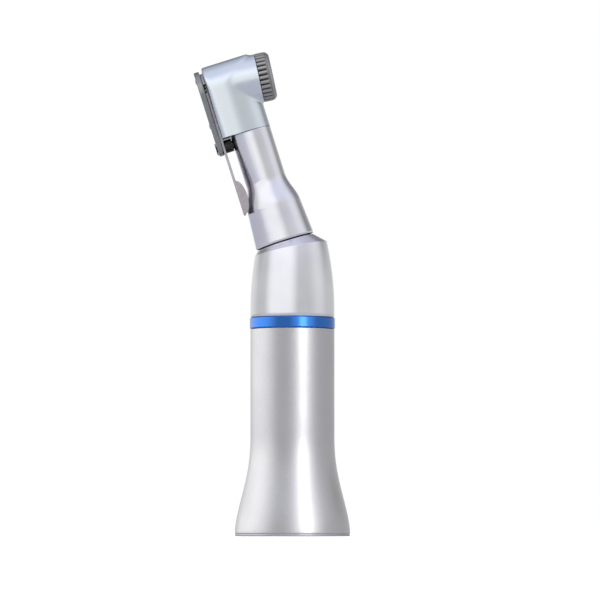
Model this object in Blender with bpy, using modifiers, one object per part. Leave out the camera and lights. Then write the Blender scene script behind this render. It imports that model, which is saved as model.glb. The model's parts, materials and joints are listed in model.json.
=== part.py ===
"""A latch-type contra-angle dental handpiece, modelled piece by piece as it is built.

The origin is the centre of the rear opening, +Z runs forward along the handle, and the neck leans
towards -X. Sizes are in millimetres and are turned to metres where a mesh is made.
"""

from math import asin, cos, pi, radians, sin, tan

import bmesh
import bpy
from mathutils import Vector

MM = 0.001

# Handle: the flared rear sheath, the marker ring and the front housing.
HANDLE_R = 7.78
FLARE_R = 10.7
FLARE_TOP = 18.7
SHEATH_TOP = 38.4
SHEATH_WALL = 0.75
RING_LOW, RING_HIGH = 38.45, 40.45
RING_R = 7.9
HOUSING_LOW = 40.5
DOME_START = 42.0
DOME_CURVE = 116.0

# Neck: leans back from the handle axis about the bend point, where the two shaft axes meet.
NECK_TILT = 17.5
BEND_Z = 50.3
NECK_FROM_BEND = 4.62
SHOULDER_R = 5.45
SHOULDER_DROP = 0.3
SHOULDER_ANGLE = 44.0
NECK_BASE_R = 5.57
NECK_CONE_TOP = 6.4
NECK_CONE_R = 5.1
NECK_R = 3.8
WAIST_TOP = 12.0
HEAD_LOW = 21.35
SPIGOT_TOP = 25.3

# Head: a rounded block with a collar, a ribbed cap and the latch on its flat back.
HEAD_BACK = 5.35
HEAD_HALF_WIDTH = 4.65
HEAD_ARCH_V = 30.75
HEAD_ROUND_U, HEAD_ROUND_A, HEAD_EDGE_Y = -2.4, 6.25, 4.7
SPINDLE_V = 30.85
SPINDLE_TILT = 95.0
COLLAR_R = 4.5
COLLAR_END = 4.5
CAP_RIB_R = 4.58
CAP_RIBS = 30
CAP_LOW, CAP_HIGH = 4.55, 7.15
BUR_R = 1.18
SPINDLE_R = 1.55

# Latch: its pivot on the neck, then lengths along the plate from there.
PIVOT_V = 20.1
LATCH_EYE = 10.9
PLATE_R, PLATE_LOW, PLATE_HIGH = 3.95, 5.9, 6.85
LEVER_LOW, LEVER_HIGH = 5.45, 5.83
BUR_EXIT = SPINDLE_V - PIVOT_V + (LEVER_LOW + LEVER_HIGH) / 2 * tan(radians(SPINDLE_TILT - 90))
PIVOT_R = 1.45
TAB_START, TAB_END = 6.8, 13.3
TAB_Y = -3.25

# Drive line.
SOCKET_R = 5.85
TUBE_R = 6.93
TUBE_LOW, TUBE_STEP, TUBE_TOP = 2.2, 25.0, 43.05
SHAFT_R = 1.55
NECK_SHAFT_R = 1.2
PRESS_GAP = 0.05
CROWN_TEETH = 14
CROWN_R = 3.9
CROWN_TIP, CROWN_ROOT, CROWN_BACK = 0.3, 1.15, 2.2
BEVEL_TEETH = 12
BEVEL_R = 2.6
BEVEL_INNER = 0.81

FINE, COARSE = 40, 20

FINISHES = {
    "satin_silver": ((0.66, 0.66, 0.67), 1.0, 0.34),
    "blue_ring": ((0.03, 0.16, 0.75), 0.2, 0.25),
    "pearl_nickel": ((0.72, 0.72, 0.77), 1.0, 0.22),
    "head_silver": ((0.66, 0.73, 0.77), 1.0, 0.26),
    "dark_steel": ((0.20, 0.20, 0.19), 1.0, 0.38),
    "latch_steel": ((0.38, 0.38, 0.40), 1.0, 0.34),
    "bright_steel": ((0.62, 0.62, 0.62), 1.0, 0.25),
    "hard_steel": ((0.42, 0.42, 0.43), 1.0, 0.35),
    "spring_steel": ((0.50, 0.50, 0.52), 1.0, 0.30),
    "brass": ((0.72, 0.52, 0.22), 1.0, 0.35),
    "rubber": ((0.03, 0.03, 0.03), 0.0, 0.70),
}

for stale in list(bpy.data.objects):
    bpy.data.objects.remove(stale)

parts = bpy.data.collections.new("contra_angle_handpiece")
cutters = bpy.data.collections.new("cutters")
bpy.context.scene.collection.children.link(parts)
bpy.context.scene.collection.children.link(cutters)


# ---------------------------------------------------------------- ways of making a piece

def own_material(name, finish):
    """The piece's own Principled material, from its row in FINISHES."""
    colour, metallic, roughness = FINISHES[finish]
    material = bpy.data.materials.new(name)
    material.use_nodes = True
    shader = material.node_tree.nodes["Principled BSDF"]
    shader.inputs["Base Color"].default_value = (*colour, 1.0)
    shader.inputs["Metallic"].default_value = metallic
    shader.inputs["Roughness"].default_value = roughness
    return material


def axis_frame(name, parent=None, at=(0, 0, 0), turn=(0, 0, 0)):
    """An empty that pieces are placed from; its Z is the axis of the pieces on it."""
    empty = bpy.data.objects.new(name, None)
    parts.objects.link(empty)
    empty.parent = parent
    empty.location = [value * MM for value in at]
    empty.rotation_euler = [radians(value) for value in turn]
    return empty


def place(name, mesh, finish, frame):
    """Puts a mesh on its frame: as a piece with a material, or as a cutter when finish is None."""
    item = bpy.data.objects.new(name, mesh)
    item.parent = frame
    if finish is None:
        cutters.objects.link(item)
        item.hide_render = True
        item.display_type = "WIRE"
    else:
        parts.objects.link(item)
        mesh.materials.append(own_material(name, finish))
    return item


def turned(name, finish, frame, profile, segments=COARSE):
    """A turned piece: (radius, height) points down the outside, and back up the bore if it has one."""
    mesh = bpy.data.meshes.new(name)
    edges = [(index, index + 1) for index in range(len(profile) - 1)]
    if profile[0][0] > 0:
        edges.append((len(profile) - 1, 0))
    mesh.from_pydata([(radius * MM, 0, height * MM) for radius, height in profile], edges, [])
    item = place(name, mesh, finish, frame)
    screw = item.modifiers.new("turn", "SCREW")
    screw.steps = screw.render_steps = segments
    screw.use_merge_vertices = True
    screw.merge_threshold = 0.001 * MM
    screw.use_smooth_shade = True
    return item


def rod(name, finish, frame, radius, low, high, segments=COARSE):
    return turned(name, finish, frame, [(0, high), (radius, high), (radius, low), (0, low)], segments)


def ring(name, finish, frame, outer, inner, low, high, segments=COARSE):
    """A plain ring of square section."""
    return turned(name, finish, frame, [(inner, high), (outer, high), (outer, low), (inner, low)],
                  segments)


def arc(centre, radius, start, end, steps):
    """Points along an arc from start to end degrees."""
    angles = [radians(start + (end - start) * step / steps) for step in range(steps + 1)]
    return [(centre[0] + radius * cos(angle), centre[1] + radius * sin(angle)) for angle in angles]


def plate(name, finish, frame, outline, low, high, top_scale=1.0):
    """A flat outline in the frame's XY plane, given a thickness; top_scale tapers it upwards."""
    curve = bpy.data.curves.new(name, "CURVE")
    curve.dimensions = "2D"
    curve.fill_mode = "BOTH"
    curve.extrude = (high - low) / 2 * MM
    spline = curve.splines.new("POLY")
    spline.points.add(len(outline) - 1)
    for point, (x, y) in zip(spline.points, outline):
        point.co = (x * MM, y * MM, 0, 1)
    spline.use_cyclic_u = True
    blank = bpy.data.objects.new(name, curve)
    bpy.context.scene.collection.objects.link(blank)
    evaluated = blank.evaluated_get(bpy.context.evaluated_depsgraph_get())
    mesh = bpy.data.meshes.new_from_object(evaluated)
    bpy.data.objects.remove(blank)
    solid = bmesh.new()
    solid.from_mesh(mesh)
    bmesh.ops.remove_doubles(solid, verts=solid.verts, dist=0.001 * MM)
    bmesh.ops.dissolve_limit(solid, angle_limit=radians(1), verts=solid.verts, edges=solid.edges)
    for vertex in solid.verts:
        if vertex.co.z > 0:
            vertex.co.x *= top_scale
            vertex.co.y *= top_scale
        vertex.co.z += (low + high) / 2 * MM
    solid.to_mesh(mesh)
    solid.free()
    return place(name, mesh, finish, frame)


def block(name, finish, frame, low, high):
    """A rectangular block between two corners."""
    solid = bmesh.new()
    bmesh.ops.create_cube(solid, size=1.0)
    for vertex in solid.verts:
        vertex.co = [(a + b) / 2 * MM + side * (b - a) * MM
                     for a, b, side in zip(low, high, vertex.co)]
    mesh = bpy.data.meshes.new(name)
    solid.to_mesh(mesh)
    solid.free()
    return place(name, mesh, finish, frame)


def combine(item, operation, *tools):
    """Adds one exact Boolean for each tool."""
    for tool in tools:
        boolean = item.modifiers.new(tool.name, "BOOLEAN")
        boolean.operation = operation
        boolean.object = tool
    return item


def cut(item, *tools):
    return combine(item, "DIFFERENCE", *tools)


def join(item, *tools):
    return combine(item, "UNION", *tools)


def o_ring(name, frame, height, major, minor):
    """A round-section seal."""
    section = arc((major, height), minor, 90, -210, 5)
    return turned(name, "rubber", frame, section, FINE)


def ball_bearing(name, frame, low, high, radii, pitch, ball, balls=5):
    """Outer ring, inner ring, and the cage with its balls; radii run from the bore outwards."""
    bore, inner_land, outer_land, outer = radii
    ring(f"{name}_outer_ring", "hard_steel", frame, outer, outer_land, low, high)
    ring(f"{name}_inner_ring", "hard_steel", frame, inner_land, bore, low, high)
    middle = (low + high) / 2
    cage = ring(f"{name}_ball_cage", "brass", frame, pitch + ball / 3, pitch - ball / 3,
                middle - ball * 0.8, middle + ball * 0.8)
    solid = bmesh.new()
    for number in range(balls):
        made = bmesh.ops.create_uvsphere(solid, u_segments=6, v_segments=4, radius=ball * MM)
        angle = 2 * pi * number / balls
        shift = Vector((pitch * cos(angle), pitch * sin(angle), middle)) * MM
        bmesh.ops.translate(solid, verts=made["verts"], vec=shift)
    mesh = bpy.data.meshes.new(f"{name}_balls")
    solid.to_mesh(mesh)
    solid.free()
    join(cage, place(f"{name}_balls", mesh, None, frame))


def crown_gear(name, frame, apex, side, hub_r, hub_end, bore, phase):
    """A face gear whose teeth look towards the bend; side is -1 below the bend and +1 above it."""
    face, back = apex + side * CROWN_ROOT, apex + side * CROWN_BACK
    heights = [face, back, back, hub_end, hub_end, face]
    radii = [CROWN_R, CROWN_R, hub_r, hub_r, bore, bore]
    if side > 0:
        heights, radii = heights[::-1], radii[::-1]
    gear = turned(name, "hard_steel", frame, list(zip(radii, heights)), 2 * CROWN_TEETH)
    solid = bmesh.new()
    root_sink, tip_narrowing = 0.3, 0.5
    low, high = sorted([face + side * root_sink, apex + side * CROWN_TIP])
    for number in range(CROWN_TEETH):
        made = bmesh.ops.create_cube(solid, size=1.0)["verts"]
        angle = phase + 2 * pi * number / CROWN_TEETH
        for vertex in made:
            along = 3.22 + 1.2 * vertex.co.x
            at_tip = (vertex.co.z > 0) == (side < 0)
            across = 0.62 * vertex.co.y * (tip_narrowing if at_tip else 1.0)
            height = high if vertex.co.z > 0 else low
            vertex.co = Vector((along * cos(angle) - across * sin(angle),
                                along * sin(angle) + across * cos(angle), height)) * MM
    mesh = bpy.data.meshes.new(f"{name}_teeth")
    solid.to_mesh(mesh)
    solid.free()
    return join(gear, place(f"{name}_teeth", mesh, None, frame))


def bevel_gear(name, frame, big_end, small_end, hub_r, hub_end, bore, phase):
    """A straight bevel gear: a toothed outline that shrinks towards the point where the axes meet."""
    outline = []
    for number in range(BEVEL_TEETH):
        middle = phase + 2 * pi * number / BEVEL_TEETH
        for radius, offset in ((BEVEL_R - 0.4, -7.5), (BEVEL_R + 0.28, -3.0),
                               (BEVEL_R + 0.28, 3.0), (BEVEL_R - 0.4, 7.5)):
            angle = middle + radians(offset)
            outline.append((radius * cos(angle), radius * sin(angle)))
    if small_end > big_end:
        gear = plate(name, "hard_steel", frame, outline, big_end, small_end, BEVEL_INNER)
    else:
        shrunk = [(x * BEVEL_INNER, y * BEVEL_INNER) for x, y in outline]
        gear = plate(name, "hard_steel", frame, shrunk, small_end, big_end, 1 / BEVEL_INNER)
    overlap = 0.2 if hub_end > big_end else -0.2
    hub_low, hub_high = sorted([hub_end, big_end - overlap])
    join(gear, rod(f"{name}_hub", None, frame, hub_r, hub_low, hub_high))
    low, high = min(hub_low, small_end, big_end) - 1, max(hub_high, small_end, big_end) + 1
    return cut(gear, rod(f"{name}_bore", None, frame, bore, low, high))


def spanner_slots(name, frame, radius, low, high):
    """The cutter for the two slots that a pin spanner turns a nut by."""
    return block(name, None, frame, (-radius, -0.4, low), (radius, 0.4, high))


# ---------------------------------------------------------------- outlines worked out from the sizes

def smooth_step(value):
    return value * value * (3 - 2 * value)


def flare_radius(height):
    """The sheath's outer radius, from the straight grip out to the flared rim."""
    share = max(0.0, 1 - height / FLARE_TOP)
    return HANDLE_R + (FLARE_R - HANDLE_R) * smooth_step(share ** 1.25)


def dome_radius(height):
    """The front housing's outer radius, which draws in towards the shoulder."""
    return HANDLE_R - max(0.0, height - DOME_START) ** 2 / DOME_CURVE


def neck_radius(height):
    """The neck's outer radius: a slow cone, a waist, then the straight tube under the head."""
    if height < NECK_CONE_TOP:
        return NECK_BASE_R + (NECK_CONE_R - NECK_BASE_R) * height / NECK_CONE_TOP
    share = min(1.0, (height - NECK_CONE_TOP) / (WAIST_TOP - NECK_CONE_TOP))
    return NECK_CONE_R + (NECK_R - NECK_CONE_R) * smooth_step(share)


def teardrop(eye, eye_r, tail_r, steps):
    """A round end at (eye, 0) and a smaller one at the origin, joined by their tangents."""
    lean = 90 + asin((eye_r - tail_r) / eye) * 180 / pi
    return (arc((eye, 0), eye_r, -lean, lean, steps)
            + arc((0, 0), tail_r, lean, 360 - lean, steps // 2))


# ---------------------------------------------------------------- frames

handle = axis_frame("handle_axis")
neck_rise = NECK_FROM_BEND * cos(radians(NECK_TILT))
neck_shift = -NECK_FROM_BEND * sin(radians(NECK_TILT))
neck = axis_frame("neck_axis", None, (neck_shift, 0, BEND_Z + neck_rise), (0, -NECK_TILT, 0))
spindle_axis = axis_frame("spindle_axis", neck, (0, 0, SPINDLE_V), (0, SPINDLE_TILT, 0))
head_back = axis_frame("head_back_axis", neck, (0, 0, HEAD_ARCH_V), (0, -90, 0))
latch_axis = axis_frame("latch_axis", neck, (0, 0, PIVOT_V), (0, -90, 0))
dog_axis = axis_frame("dog_axis", handle)

# ---------------------------------------------------------------- shank

heights = [FLARE_TOP * (1 - step / 8) for step in range(8)]
outer_side = [(flare_radius(height), height) for height in heights]
inner_heights = [FLARE_TOP * step / 4 for step in range(5)]
inner_side = [(flare_radius(height) - SHEATH_WALL, height) for height in inner_heights]
turned("rear_sheath", "satin_silver", handle,
       [(HANDLE_R - 0.2, SHEATH_TOP), (HANDLE_R, SHEATH_TOP - 0.2)] + outer_side
       + [(FLARE_R, 0.2), (FLARE_R - 0.15, 0)] + inner_side
       + [(HANDLE_R - SHEATH_WALL, SHEATH_TOP)], FINE)

turned("marker_ring", "blue_ring", handle,
       [(HANDLE_R - SHEATH_WALL, RING_HIGH), (RING_R - 0.12, RING_HIGH), (RING_R, RING_HIGH - 0.12),
        (RING_R, RING_LOW + 0.12), (RING_R - 0.12, RING_LOW), (HANDLE_R - SHEATH_WALL, RING_LOW)], FINE)

inner_tube_profile = [
    (TUBE_R, TUBE_TOP), (TUBE_R, TUBE_LOW + 0.3), (TUBE_R - 0.3, TUBE_LOW), (SOCKET_R + 0.2, TUBE_LOW),
    (SOCKET_R, TUBE_LOW + 0.3), (SOCKET_R, 5.5), (SOCKET_R + 0.55, 5.5), (SOCKET_R + 0.55, 6.5),
    (SOCKET_R, 6.5), (SOCKET_R, TUBE_STEP), (4.9, TUBE_STEP), (4.9, TUBE_TOP)]
turned("inner_tube", "bright_steel", handle, inner_tube_profile, FINE)
o_ring("socket_o_ring", handle, 6.0, 5.97, 0.38)

dome_heights = [57 - 2.5 * step for step in range(7)]
housing = turned("front_housing", "pearl_nickel", handle,
                 [(0, 57)] + [(dome_radius(height), height) for height in dome_heights]
                 + [(HANDLE_R, HOUSING_LOW + 0.15), (HANDLE_R - 0.15, HOUSING_LOW),
                    (0, HOUSING_LOW)], FINE)
reach = 9.0
shoulder = turned("shoulder_form", None, neck,
                  [(0, -SHOULDER_DROP), (SHOULDER_R, -SHOULDER_DROP),
                   (SHOULDER_R + reach * tan(radians(SHOULDER_ANGLE)), -SHOULDER_DROP - reach),
                   (SHOULDER_R + reach * tan(radians(SHOULDER_ANGLE)), -30), (0, -30)], FINE)
combine(housing, "INTERSECT", shoulder)
cut(housing,
    rod("housing_thread_bore", None, handle, TUBE_R + PRESS_GAP, 39, 44.25, FINE),
    rod("housing_gear_bore", None, handle, 4.7, 43.5, 51.2, FINE),
    rod("housing_neck_bore", None, neck, 4.6, -5.6, 1.0, FINE))

carrier_profile = [(4.5, 45.2), (4.5, 44.15), (6.9, 44.15), (6.9, 43.1), (4.8, 43.1), (4.8, 26.8),
                   (4.02, 26.8), (4.02, 31.5), (3.4, 31.5), (3.4, 41.0), (4.02, 41.0), (4.02, 45.2)]
turned("bearing_carrier", "bright_steel", handle, carrier_profile)
nut = ring("bearing_nut", "brass", handle, 3.97, 2.6, 26.85, 28.45)
cut(nut, spanner_slots("bearing_nut_slots", handle, 5, 26, 27.5))

MAIN_BEARING = (SHAFT_R + PRESS_GAP, 2.2, 3.3, 3.97)
ball_bearing("rear_main_bearing", handle, 28.55, 31.35, MAIN_BEARING, 2.75, 0.46)
ball_bearing("front_main_bearing", handle, 41.1, 43.9, MAIN_BEARING, 2.75, 0.46)

# ---------------------------------------------------------------- main shaft

DOG_PIN_Z = 22.6
DOG_TRAVEL = 1.2
main_shaft = turned("main_shaft", "bright_steel", handle,
                    [(0, 49.1), (SHAFT_R, 49.1), (SHAFT_R, 28.5), (2.1, 28.5), (2.1, 26.8), (2.3, 26.8),
                     (2.3, 26.35), (1.2, 26.35), (1.2, 21.8), (0, 21.8)])
pin_axis = axis_frame("dog_pin_axis", handle, (0, 0, DOG_PIN_Z), (0, 90, 0))
cut(main_shaft, rod("dog_pin_hole", None, pin_axis, 0.38, -3, 3))
rod("dog_pin", "bright_steel", pin_axis, 0.33, -2.2, 2.2, 16)
crown_gear("main_crown_gear", handle, BEND_Z, -1, 2.1, 44.0, SHAFT_R + PRESS_GAP, 0)
ring("bearing_spacer", "bright_steel", handle, 2.1, SHAFT_R + PRESS_GAP, 31.45, 41.0)

dog = turned("drive_dog", "hard_steel", dog_axis,
             [(0, 20.4), (1.27, 20.4), (1.27, 23.4), (2.2, 23.4), (2.3, 23.3), (2.3, 19.9), (0, 19.9)])
join(dog, block("dog_tongue", None, dog_axis, (-2.1, -0.5, 18.4), (2.1, 0.5, 20.1)))
cut(dog, block("dog_slot", None, dog_axis, (-3, -0.4, DOG_PIN_Z - 0.38 - DOG_TRAVEL),
               (3, 0.4, DOG_PIN_Z + 0.38)))

SPRING_LOW, SPRING_HIGH, SPRING_TURNS, SPRING_R, WIRE_R = 23.62, 26.13, 4, 1.75, 0.15
coil = bpy.data.curves.new("dog_spring", "CURVE")
coil.dimensions = "3D"
coil.bevel_depth = WIRE_R * MM
coil.bevel_resolution = 2
coil.use_fill_caps = True
turns = coil.splines.new("POLY")
coil_points = 10 * SPRING_TURNS
turns.points.add(coil_points)
for index, point in enumerate(turns.points):
    share = index / coil_points
    angle = 2 * pi * SPRING_TURNS * share
    height = SPRING_LOW + (SPRING_HIGH - SPRING_LOW) * share
    point.co = (SPRING_R * cos(angle) * MM, SPRING_R * sin(angle) * MM, height * MM, 1)
spring = bpy.data.objects.new("dog_spring", coil)
parts.objects.link(spring)
spring.parent = dog_axis
coil.materials.append(own_material("dog_spring", "spring_steel"))

# ---------------------------------------------------------------- neck

cone_side = [(neck_radius(height), height) for height in
             [WAIST_TOP - (WAIST_TOP - NECK_CONE_TOP) * step / 5 for step in range(6)]]
neck_sheath = turned("neck_sheath", "pearl_nickel", neck,
                     [(3.05, SPIGOT_TOP), (3.05, HEAD_LOW), (NECK_R, HEAD_LOW)] + cone_side
                     + [(NECK_BASE_R, 0.25), (NECK_BASE_R - 0.2, 0), (4.5, 0), (4.5, -0.75),
                        (3.95, -0.75), (3.95, -1.5), (4.5, -1.5), (4.5, -1.9), (3.38, -1.9),
                        (3.38, 2.75), (2.65, 2.75), (2.65, SPIGOT_TOP)], FINE)
cut(neck_sheath, rod("latch_post_hole", None, latch_axis, 0.84, 2.0, 4.4))
o_ring("neck_o_ring", neck, -1.125, 4.27, 0.29)
neck_nut = ring("neck_nut", "brass", neck, 3.33, 2.0, -1.75, 0.35)
cut(neck_nut, spanner_slots("neck_nut_slots", neck, 4, -3, -1.2))
ball_bearing("neck_bearing", neck, 0.45, 2.65, (NECK_SHAFT_R + PRESS_GAP, 1.72, 2.75, 3.33), 2.24, 0.42)
ring("neck_bush", "brass", neck, 2.6, NECK_SHAFT_R + 0.07, 22.3, 25.2)

shaft_angle = 180 - SPINDLE_TILT
pitch_slope = tan(radians(shaft_angle / 2))
bevel_back = BEVEL_R / pitch_slope
bevel_front = BEVEL_INNER * bevel_back
rod("neck_shaft", "bright_steel", neck, NECK_SHAFT_R, -3.45, SPINDLE_V - bevel_front - 0.1)
crown_gear("neck_crown_gear", neck, -NECK_FROM_BEND, 1, 1.8, 0.35, NECK_SHAFT_R + PRESS_GAP,
           pi / CROWN_TEETH)
bevel_gear("neck_bevel_pinion", neck, SPINDLE_V - bevel_back, SPINDLE_V - bevel_front, 1.9, 26.7,
           NECK_SHAFT_R + PRESS_GAP, 0)

# ---------------------------------------------------------------- head

side_corner = 0.75
corner_u, corner_y = side_corner - HEAD_BACK, HEAD_EDGE_Y - side_corner
body_outline = ([(HEAD_ROUND_U + HEAD_ROUND_A * cos(radians(angle)), HEAD_EDGE_Y * sin(radians(angle)))
                 for angle in range(-90, 91, 10)]
                + arc((corner_u, corner_y), side_corner, 90, 180, 3)
                + arc((corner_u, -corner_y), side_corner, 180, 270, 3))
head = plate("head_housing", "head_silver", neck, body_outline, HEAD_LOW + 0.05, 36.5)
arch_low = HEAD_LOW - HEAD_ARCH_V
arch_outline = (arc((0, 0), HEAD_HALF_WIDTH, -90, 90, 20)
                + [(arch_low - 1, HEAD_HALF_WIDTH), (arch_low - 1, -HEAD_HALF_WIDTH)])
combine(head, "INTERSECT", plate("head_arch", None, head_back, arch_outline, -8, 8))
join(head, rod("head_collar", None, spindle_axis, COLLAR_R, -1.0, COLLAR_END, FINE))
cut(head,
    rod("head_shaft_bore", None, neck, 3.1, 20, 28.9),
    turned("head_bore", None, spindle_axis,
           [(0, 6), (3.95, 6), (3.95, 3.55), (3.18, 3.55), (3.18, -3.15), (2.85, -3.15), (2.85, -4.87),
            (1.8, -4.87), (1.8, -8), (0, -8)]))

rib_outline = []
for number in range(CAP_RIBS):
    for radius, offset in ((CAP_RIB_R - 0.28, -3.4), (CAP_RIB_R, -1.9), (CAP_RIB_R, 1.9),
                           (CAP_RIB_R - 0.28, 3.4)):
        angle = radians(360 * number / CAP_RIBS + offset)
        rib_outline.append((radius * cos(angle), radius * sin(angle)))
cap = plate("head_cap", "dark_steel", spindle_axis, rib_outline, CAP_LOW, CAP_HIGH)
cap_edge_profile = [(0, CAP_HIGH + 1), (2.6, CAP_HIGH + 1), (3.95, CAP_HIGH - 0.05),
                    (4.4, CAP_HIGH - 0.5), (4.9, CAP_HIGH - 0.9), (4.9, CAP_LOW - 1), (0, CAP_LOW - 1)]
combine(cap, "INTERSECT", turned("cap_edge_form", None, spindle_axis, cap_edge_profile, FINE))
join(cap, rod("cap_spigot", None, spindle_axis, 3.9, 3.7, CAP_LOW + 0.2, FINE))
cut(cap, turned("cap_bore", None, spindle_axis,
                [(0, 9), (1.8, 9), (1.8, 5.5), (3.2, 5.5), (3.2, 3), (0, 3)]))
ring("preload_washer", "spring_steel", spindle_axis, 3.12, 2.2, 5.27, 5.42)
ball_bearing("front_spindle_bearing", spindle_axis, 3.32, 5.2, (SPINDLE_R + PRESS_GAP, 1.88, 2.78, 3.12),
             2.33, 0.36)
ball_bearing("rear_spindle_bearing", spindle_axis, -4.8, -3.3, (SPINDLE_R + PRESS_GAP, 1.84, 2.48, 2.78),
             2.16, 0.24)

spindle = ring("spindle", "bright_steel", spindle_axis, SPINDLE_R, BUR_R, -5.0, 6.9)
cut(spindle, block("bur_flat_seat", None, spindle_axis, (0.55, -3, -6), (3, 3, -4.2)))
bevel_gear("spindle_bevel_gear", spindle_axis, bevel_back, bevel_front, 2.0, 3.25, SPINDLE_R + PRESS_GAP,
           pi / BEVEL_TEETH)

# ---------------------------------------------------------------- latch

turned("latch_post", "dark_steel", latch_axis,
       [(0, 4.2), (0.6, 4.2), (0.6, 5.4), (1.1, 5.4), (1.22, 5.3), (1.22, 3.9), (0.8, 3.9), (0.8, 2.75),
        (0, 2.75)])
latch_screw = turned("latch_pivot_screw", "dark_steel", latch_axis,
                     [(0, 7.1), (0.95, 7.1), (1.1, 7.0), (1.1, 6.9), (0.54, 6.9), (0.54, 4.3), (0, 4.3)])
cut(latch_screw, block("screw_slot", None, latch_axis, (-2, -0.15, 6.98), (2, 0.15, 8)))

latch_plate = plate("latch_plate", "latch_steel", latch_axis, teardrop(LATCH_EYE, PLATE_R, PIVOT_R, 24),
                    PLATE_LOW, PLATE_HIGH)
lever_outline = (arc((LATCH_EYE, 0), 3.4, -105, 105, 16)
                 + [(-0.3, 1.4), (-TAB_START, 0.8), (-12.6, 0.5), (-TAB_END, -0.2), (-TAB_END, -2.7),
                    (-12.8, TAB_Y), (-TAB_START, TAB_Y), (-3.0, -2.3), (-0.3, -1.4)])
lever = plate("latch_lever", "latch_steel", latch_axis, lever_outline, LEVER_LOW, LEVER_HIGH)

flange_axis = axis_frame("flange_axis", latch_axis, (0, TAB_Y, 0), (90, 0, 0))
tab_middle, tab_half = (TAB_START + TAB_END) / 2, (TAB_END - TAB_START) / 2
flange_outline = [(-tab_middle + tab_half * cos(radians(angle)),
                   LEVER_HIGH - 0.05 - 1.65 * abs(sin(radians(angle))) ** 0.8)
                  for angle in range(0, 181, 12)]
join(lever, plate("tab_flange", None, flange_axis, flange_outline, -0.35, -0.02))
cut(lever,
    rod("lever_pivot_hole", None, latch_axis, 0.62, 5, 7),
    block("bur_notch", None, latch_axis, (BUR_EXIT - 0.85, -6, 5), (BUR_EXIT + 0.85, 0, 7)),
    rod("bur_notch_end", None, axis_frame("notch_axis", latch_axis, (BUR_EXIT, 0, 0)), 0.86, 5, 7))
cut(latch_plate, rod("plate_pivot_hole", None, latch_axis, 0.62, 5, 7.5))
for number, along in enumerate((4.4, 13.1), start=1):
    rivet_axis = axis_frame(f"rivet_axis_{number}", latch_axis, (along, 0, 0))
    turned(f"latch_rivet_{number}", "bright_steel", rivet_axis,
           [(0, 7.0), (0.35, 7.0), (0.55, 6.88), (0.3, 6.88), (0.3, LEVER_LOW + 0.02),
            (0, LEVER_LOW + 0.02)], 16)
    rivet_hole = rod(f"rivet_hole_{number}", None, rivet_axis, 0.35, 5, 8, 16)
    cut(latch_plate, rivet_hole)
    cut(lever, rivet_hole)
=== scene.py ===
"""The looks of a latch-type contra-angle handpiece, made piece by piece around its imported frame.

Every new piece is modelled in millimetres on the axis it is turned or bent about, and is then set
in place in metres. The sections follow the handpiece from its rear rim to its head.
"""

import json

import bmesh
import bpy
from math import asin, atan2, cos, degrees, pi, radians, sin, tan
from mathutils import Matrix, Vector


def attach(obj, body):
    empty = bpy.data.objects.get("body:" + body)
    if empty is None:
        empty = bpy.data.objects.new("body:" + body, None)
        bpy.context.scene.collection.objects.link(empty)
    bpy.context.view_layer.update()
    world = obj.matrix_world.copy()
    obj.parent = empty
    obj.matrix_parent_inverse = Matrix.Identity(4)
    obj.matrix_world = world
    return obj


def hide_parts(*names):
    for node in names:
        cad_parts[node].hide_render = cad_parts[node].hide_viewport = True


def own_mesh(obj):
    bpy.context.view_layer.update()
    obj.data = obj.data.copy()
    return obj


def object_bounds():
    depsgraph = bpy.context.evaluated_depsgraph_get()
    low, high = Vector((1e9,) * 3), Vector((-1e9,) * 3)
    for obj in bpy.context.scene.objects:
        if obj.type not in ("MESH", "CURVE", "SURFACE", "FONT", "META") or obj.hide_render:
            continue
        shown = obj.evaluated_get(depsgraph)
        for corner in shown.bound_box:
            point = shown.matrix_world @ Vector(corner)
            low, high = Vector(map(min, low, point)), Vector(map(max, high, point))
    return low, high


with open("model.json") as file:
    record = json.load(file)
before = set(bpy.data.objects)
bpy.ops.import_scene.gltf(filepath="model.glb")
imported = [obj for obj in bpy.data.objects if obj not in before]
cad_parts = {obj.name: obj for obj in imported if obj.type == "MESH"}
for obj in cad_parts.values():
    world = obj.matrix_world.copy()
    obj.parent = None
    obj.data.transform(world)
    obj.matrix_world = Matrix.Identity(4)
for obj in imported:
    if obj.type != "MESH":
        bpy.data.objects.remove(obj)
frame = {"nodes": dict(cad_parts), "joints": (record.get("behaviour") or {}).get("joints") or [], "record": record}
cad_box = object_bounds()
joints = {joint["name"]: joint for joint in frame["joints"]}

# ---------------------------------------------------------------- camera, light and floor
# A long lens just above the table looks a little up at the handpiece, in a white room. The room has
# a brighter ceiling in front, and behind it a bright low wall under a dim band. Softboxes give the
# satin grip and the bright plating their own bands.

LENS_MM, CAMERA_AT, AIM_AT = 272, Vector((0.0014, -0.84, 0.0015)), Vector((0.0014, 0, 0.0438))
camera = bpy.data.objects.new("camera", bpy.data.cameras.new("camera"))
bpy.context.scene.collection.objects.link(camera)
bpy.context.scene.camera = camera
camera.data.lens = LENS_MM
camera.data.clip_start, camera.data.clip_end = 0.05, 20
camera.location = CAMERA_AT
camera.rotation_euler = (AIM_AT - CAMERA_AT).to_track_quat("-Z", "Y").to_euler()
bpy.context.scene.view_settings.view_transform = "Standard"


def linear(hex_colour):
    """An sRGB hex colour as the linear colour that a shader takes."""
    shares = [int(hex_colour[at:at + 2], 16) / 255 for at in (1, 3, 5)]
    return [*(c / 12.92 if c <= 0.04045 else ((c + 0.055) / 1.055) ** 2.4 for c in shares), 1.0]


def add_node(tree, kind, inputs=None, **settings):
    """Adds a node; inputs maps its sockets to values, or to the output sockets that feed them."""
    made = tree.nodes.new(kind)
    for name, value in settings.items():
        setattr(made, name, value)
    for socket, value in (inputs or {}).items():
        if isinstance(value, bpy.types.NodeSocket):
            tree.links.new(value, made.inputs[socket])
        else:
            made.inputs[socket].default_value = value
    return made


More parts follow.
